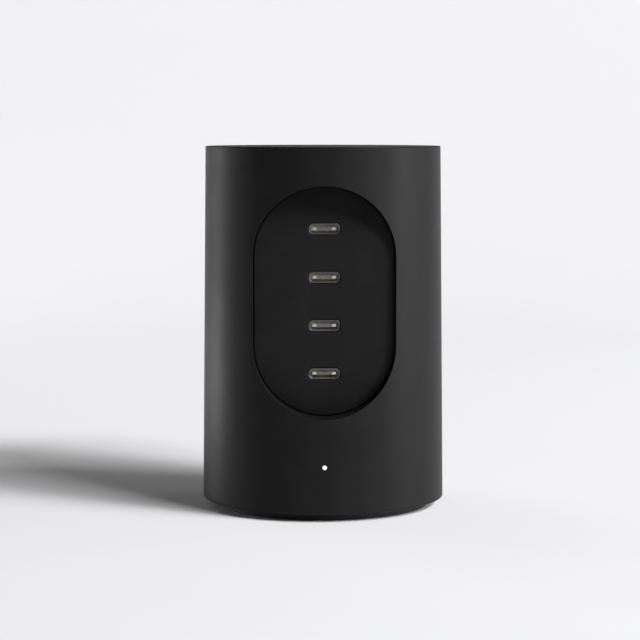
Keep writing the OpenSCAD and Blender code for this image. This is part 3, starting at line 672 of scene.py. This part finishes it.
def portPanel():
    bm = cleanCopy("port_panel")
    front = min(v.co.y for v in bm.verts) + panel["slack"] * mm
    rim = windows["recess"]["outline"]

    def onOutline(v):
        return v.co.y < front and rim.outside((v.co.x / mm, v.co.z / mm)) > -panel["outlineBand"]

    outer = [e for e in bm.edges if all(onOutline(v) for v in e.verts)]
    bmesh.ops.bevel(bm, geom=outer, offset=panel["outlineEdge"] * mm, offset_type="OFFSET",
                    segments=panel["segments"], profile=0.5, affect="EDGES")
    print("outline edges rounded:", len(outer))
    softPiece("portPanel", "port_panel", panel["slotEdge"], bm=bm)


portPanel()

softEdges = {  # node: piece name and edge radius in millimetres
    "base_cover": ("baseCover", 0.15), "foot_ring": ("footRing", 0.1),
    "light_pipe": ("lightPipe", 0.12), "inlet_body": ("inletBody", 0.2),
    "inlet_pins": ("inletPins", 0.15), "main_board": ("mainBoard", 0.05),
    "port_board": ("portBoard", 0.05), "port_coils": ("portCoils", 0.1),
    "port_chips": ("portChips", 0.08), "port_capacitors": ("portCapacitors", 0.1),
    "line_capacitor": ("lineCapacitor", 0.4), "transformer_core": ("transformerCore", 0.2),
    "heat_sink": ("heatSink", 0.1), "bridge_rectifier": ("bridgeRectifier", 0.15),
    "power_switch": ("powerSwitch", 0.15), "choke_core": ("chokeCore", 0.5),
    "link_header": ("linkHeader", 0.08), "link_socket": ("linkSocket", 0.08),
    "surge_arrester": ("surgeArrester", 0.5), "safety_capacitor": ("safetyCapacitor", 0.4),
}
for node, (name, width) in softEdges.items():
    softPiece(name, node, width)
print("softened pieces made:", len(softEdges))

# Ports: the drawn shell with its rounded lip, the tongue, the plate and the rows of contacts
port = {
    "count": 4, "width": 8.94, "height": 3.16, "corner": 1.3, "sheet": 0.3, "lip": 0.12,
    "lipSteps": 5, "cornerSteps": 8, "ringDepths": (0.3, 2.0), "sharp": 50,
    "tongueEdge": 0.06, "tongueSegments": 2, "plateEdge": 0.06, "contacts": 12, "contactPitch": 0.5,
    "contactWidth": 0.3, "contactRise": 0.06, "contactEdge": 0.02, "contactSegments": 2,
}


def roundedRing(bm, width, height, corner, y, z, steps):
    points = []
    for x, up, start in ((1, 1, 0), (-1, 1, 90), (-1, -1, 180), (1, -1, 270)):
        middle = (x * (width / 2 - corner), z + up * (height / 2 - corner))
        points += [(a, y, b) for a, b in arcPoints(*middle, corner, start, start + 90, steps)]
    return addRing(bm, points)


# Each ring is an inset from the shell's outside and a depth behind its mouth; the last joins
# the first
def portShell(name, node):
    low, high = (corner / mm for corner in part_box(node))
    mouth, back, z = low.y, high.y, (low.z + high.z) / 2
    lip, sheet, steps = port["lip"], port["sheet"], port["lipSteps"]
    depths = (*port["ringDepths"], back - mouth)
    rings = [(0, depth) for depth in reversed(depths)]
    rings += arcPoints(lip, lip, lip, 180, 270, steps)
    rings += arcPoints(sheet - lip, lip, lip, 270, 360, steps)
    rings += [(sheet, depth) for depth in depths]
    bm = bmesh.new()
    made = [
        roundedRing(bm, port["width"] - 2 * inset, port["height"] - 2 * inset,
                    port["corner"] - inset, mouth + depth, z, port["cornerSteps"])
        for inset, depth in rings
    ]
    for a, b in zip(made, made[1:] + made[:1]):
        joinRings(bm, a, b)
    return finishPiece(makeObject(name, bm, port["sharp"]), node)


# Contacts by Geometry Nodes: a row along X on each face of the tongue
def contactTree():
    tree = bpy.data.node_groups.new("contactRows", "GeometryNodeTree")
    tree.interface.new_socket("Geometry", in_out="OUTPUT", socket_type="NodeSocketGeometry")
    for name, kind in (("Count", "Int"), ("Pitch", "Float"), ("Size", "Vector"),
                       ("Middle", "Vector"), ("Rise", "Float"), ("Finish", "Material")):
        tree.interface.new_socket(name, in_out="INPUT", socket_type="NodeSocket" + kind)
    given = tree.nodes.new("NodeGroupInput").outputs
    final = tree.nodes.new("NodeGroupOutput")

    # A node's first output, once its settings and its sockets' values or links are set
    def add(kind, sockets, settings=None):
        node = tree.nodes.new(kind)
        for key, value in (settings or {}).items():
            setattr(node, key, value)
        for key, value in sockets.items():
            if isinstance(value, bpy.types.NodeSocket):
                tree.links.new(value, node.inputs[key])
            else:
                node.inputs[key].default_value = value
        return node.outputs[0]

    def product(first, second):
        return add("ShaderNodeMath", {0: first, 1: second}, {"operation": "MULTIPLY"})

    gaps = add("ShaderNodeMath", {0: given["Count"], 1: 1}, {"operation": "SUBTRACT"})
    first = product(product(gaps, -0.5), given["Pitch"])
    step = add("ShaderNodeCombineXYZ", {"X": given["Pitch"]})
    blade = add("GeometryNodeMeshCube", {"Size": given["Size"]})
    rows = tree.nodes.new("GeometryNodeJoinGeometry")
    for side in (-1, 1):
        offset = add("ShaderNodeCombineXYZ", {"X": first, "Z": product(given["Rise"], side)})
        start = add("ShaderNodeVectorMath", {0: offset, 1: given["Middle"]}, {"operation": "ADD"})
        line = add("GeometryNodeMeshLine", {
            "Count": given["Count"], "Start Location": start, "Offset": step,
        }, {"mode": "OFFSET"})
        spread = add("GeometryNodeInstanceOnPoints", {"Points": line, "Instance": blade})
        tree.links.new(spread, rows.inputs[0])
    real = add("GeometryNodeRealizeInstances", {"Geometry": rows.outputs[0]})
    dressed = add("GeometryNodeSetMaterial", {"Geometry": real, "Material": given["Finish"]})
    tree.links.new(dressed, final.inputs[0])
    return tree


def contactRows(name, node, tree):
    low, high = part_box(node)
    rise = port["contactRise"] * mm
    values = {
        "Count": port["contacts"], "Pitch": port["contactPitch"] * mm,
        "Size": (port["contactWidth"] * mm, high.y - low.y, rise),
        "Middle": (low + high) / 2, "Rise": (high.z - low.z - rise) / 2,
        "Finish": finishes["contact"],
    }
    piece = bpy.data.objects.new(name, bpy.data.meshes.new(name))
    scene.collection.objects.link(piece)
    modifier = piece.modifiers.new("rows", "NODES")
    modifier.node_group = tree
    for item in tree.interface.items_tree:
        if item.in_out == "INPUT":
            modifier[item.identifier] = values[item.name]
    graph = bpy.context.evaluated_depsgraph_get()
    mesh = bpy.data.meshes.new_from_object(piece.evaluated_get(graph))
    piece.modifiers.clear()
    piece.data = mesh
    bevel = piece.modifiers.new("softEdges", "BEVEL")
    bevel.width = port["contactEdge"] * mm
    bevel.segments = port["contactSegments"]
    return finishPiece(piece, node)


contactNodes = contactTree()
for i in range(1, port["count"] + 1):
    portShell(f"portShell{i}", f"usb_shell_{i}")
    softPiece(f"portTongue{i}", f"usb_tongue_{i}", port["tongueEdge"], port["tongueSegments"])
    softPiece(f"portPlate{i}", f"usb_plate_{i}", port["plateEdge"])
    contactRows(f"portContacts{i}", f"usb_contacts_{i}", contactNodes)
print("ports made")

# Studio: one sheet of paper that curves up behind the object, in metres and degrees
paper = {
    "halfWidth": 5.0, "front": -5.0, "bendStart": 0.5, "bendRadius": 1.6, "bendTo": 45,
    "bendSteps": 32, "colour": grey(0.88, zincGrey), "dark": 0.99, "fibre": 60 * mm,
    "roughness": (0.85, 0.95),
}


def paperFinish():
    f = Finish("studioPaper")
    fibre = f.noise(paper["fibre"])
    return f.shade({
        "Base Color": f.blend(fibre, toned(paper["colour"], paper["dark"]), paper["colour"]),
        "Roughness": f.span(fibre, 0, 1, *paper["roughness"]),
    })


def studioSheet():
    s = paper
    profile = [(s["front"], 0.0), (0.0, 0.0)]
    for i in range(s["bendSteps"] + 1):
        t = math.radians(s["bendTo"] * i / s["bendSteps"])
        rise = s["bendRadius"] * (1 - math.cos(t))
        profile.append((s["bendStart"] + s["bendRadius"] * math.sin(t), rise))
    bm = bmesh.new()
    rows = [[bm.verts.new((x * s["halfWidth"], y, z)) for x in (-1, 1)] for y, z in profile]
    for a, b in zip(rows, rows[1:]):
        bm.faces.new((a[0], a[1], b[1], b[0]))
    mesh = bpy.data.meshes.new("studioSheet")
    bm.to_mesh(mesh)
    bm.free()
    mesh.shade_smooth()
    sheet = bpy.data.objects.new("studioSheet", mesh)
    scene.collection.objects.link(sheet)
    wear(sheet, paperFinish())


studioSheet()

# Soft boxes: azimuth counter-clockwise from +X, elevation, width and height as seen from the
# object, all in degrees, then the distance in metres and the radiance
softBoxes = {
    "keyFront": (310, 38, 10, 8, 6.0, 41.1),
    "keyMiddle": (320, 38, 10, 8, 6.0, 39.3),
    "keyRight": (330, 38, 10, 8, 6.0, 57.7),
    "keyHigh": (340, 46, 10, 8, 6.0, 39.9),
    "keyLow": (325, 24, 10, 12, 1.5, 39.4),
    "sideFront": (350, 4.25, 10, 7.5, 1.5, 43.1),
    "sideRight": (10, 4.25, 10, 7.5, 1.5, 10.5),
    "rimRight": (30, 24, 10, 12, 1.0, 6.3),
    "rimLeft": (130, 24, 10, 12, 1.0, 5.0),
    "rimLow": (150, 4.25, 10, 7.5, 1.5, 23.6),
    "sideLeft": (180, 4.25, 10, 7.5, 1.5, 10.8),
}
softBoxAim = Vector((0, 0, 0.04))
# Lights that are given by their place and aim. The two gridded strips stand close by, and their
# narrow beams brighten the housing's left edge but hardly the floor
placedLights = {
    "stripUpper": {"at": (-0.34641, 0.2, 0.03), "aim": (-0.036, 0, 0.034), "size": (0.08, 0.04),
                   "radiance": 0.179, "spread": 15},
    "stripLower": {"at": (-0.34641, 0.2, 0.015), "aim": (-0.036, 0, 0.025), "size": (0.1, 0.024),
                   "radiance": 0.15, "spread": 12},
    "backdrop": {"at": (-0.6, 0.5, 0.9), "aim": (-0.6, 1.3, 0.25), "size": (1.0, 0.3),
                 "radiance": 2.65, "spread": 180},
}
air = {"colour": grey(1), "strength": 0.004}
# In metres and degrees, with the lens and the sensor in millimetres
cameraSettings = {
    "at": (-0.00872, -0.65383, 0.11469), "tilt": 84.824, "turn": -0.684, "lens": 122.28,
    "sensor": 36, "nearest": 0.01,
}


def areaLight(name, at, aim, size, radiance, spread=180):
    lamp = bpy.data.lights.new(name, "AREA")
    lamp.shape = "RECTANGLE"
    lamp.size, lamp.size_y = size
    lamp.energy = math.pi * size[0] * size[1] * radiance
    lamp.spread = math.radians(spread)
    made = bpy.data.objects.new(name, lamp)
    made.location = at
    made.rotation_euler = (Vector(aim) - Vector(at)).to_track_quat("-Z", "Y").to_euler()
    made.visible_camera = False
    scene.collection.objects.link(made)


def softBox(name, azimuth, elevation, wide, tall, away, radiance):
    a, e = math.radians(azimuth), math.radians(elevation)
    toward = Vector((math.cos(e) * math.cos(a), math.cos(e) * math.sin(a), math.sin(e)))
    width = 2 * away * math.cos(e) * math.tan(math.radians(wide / 2))
    height = 2 * away * math.tan(math.radians(tall / 2))
    areaLight(name, softBoxAim + toward * away, softBoxAim, (width, height), radiance)


def studioAir():
    world = bpy.data.worlds.new("studioAir")
    world.use_nodes = True
    background = world.node_tree.nodes["Background"].inputs
    background["Color"].default_value = air["colour"]
    background["Strength"].default_value = air["strength"]
    scene.world = world
    scene.view_settings.view_transform = "Standard"


def photoCamera():
    s = cameraSettings
    lens = bpy.data.cameras.new("photoCamera")
    lens.lens = s["lens"]
    lens.sensor_width = s["sensor"]
    lens.clip_start = s["nearest"]
    camera = bpy.data.objects.new("photoCamera", lens)
    camera.location = s["at"]
    camera.rotation_euler = (math.radians(s["tilt"]), 0, math.radians(s["turn"]))
    scene.collection.objects.link(camera)
    bpy.context.scene.camera = camera


for name, box in softBoxes.items():
    softBox(name, *box)
for name, light in placedLights.items():
    areaLight(name, **light)
studioAir()
photoCamera()
print("studio made:", len(softBoxes) + len(placedLights), "lights")
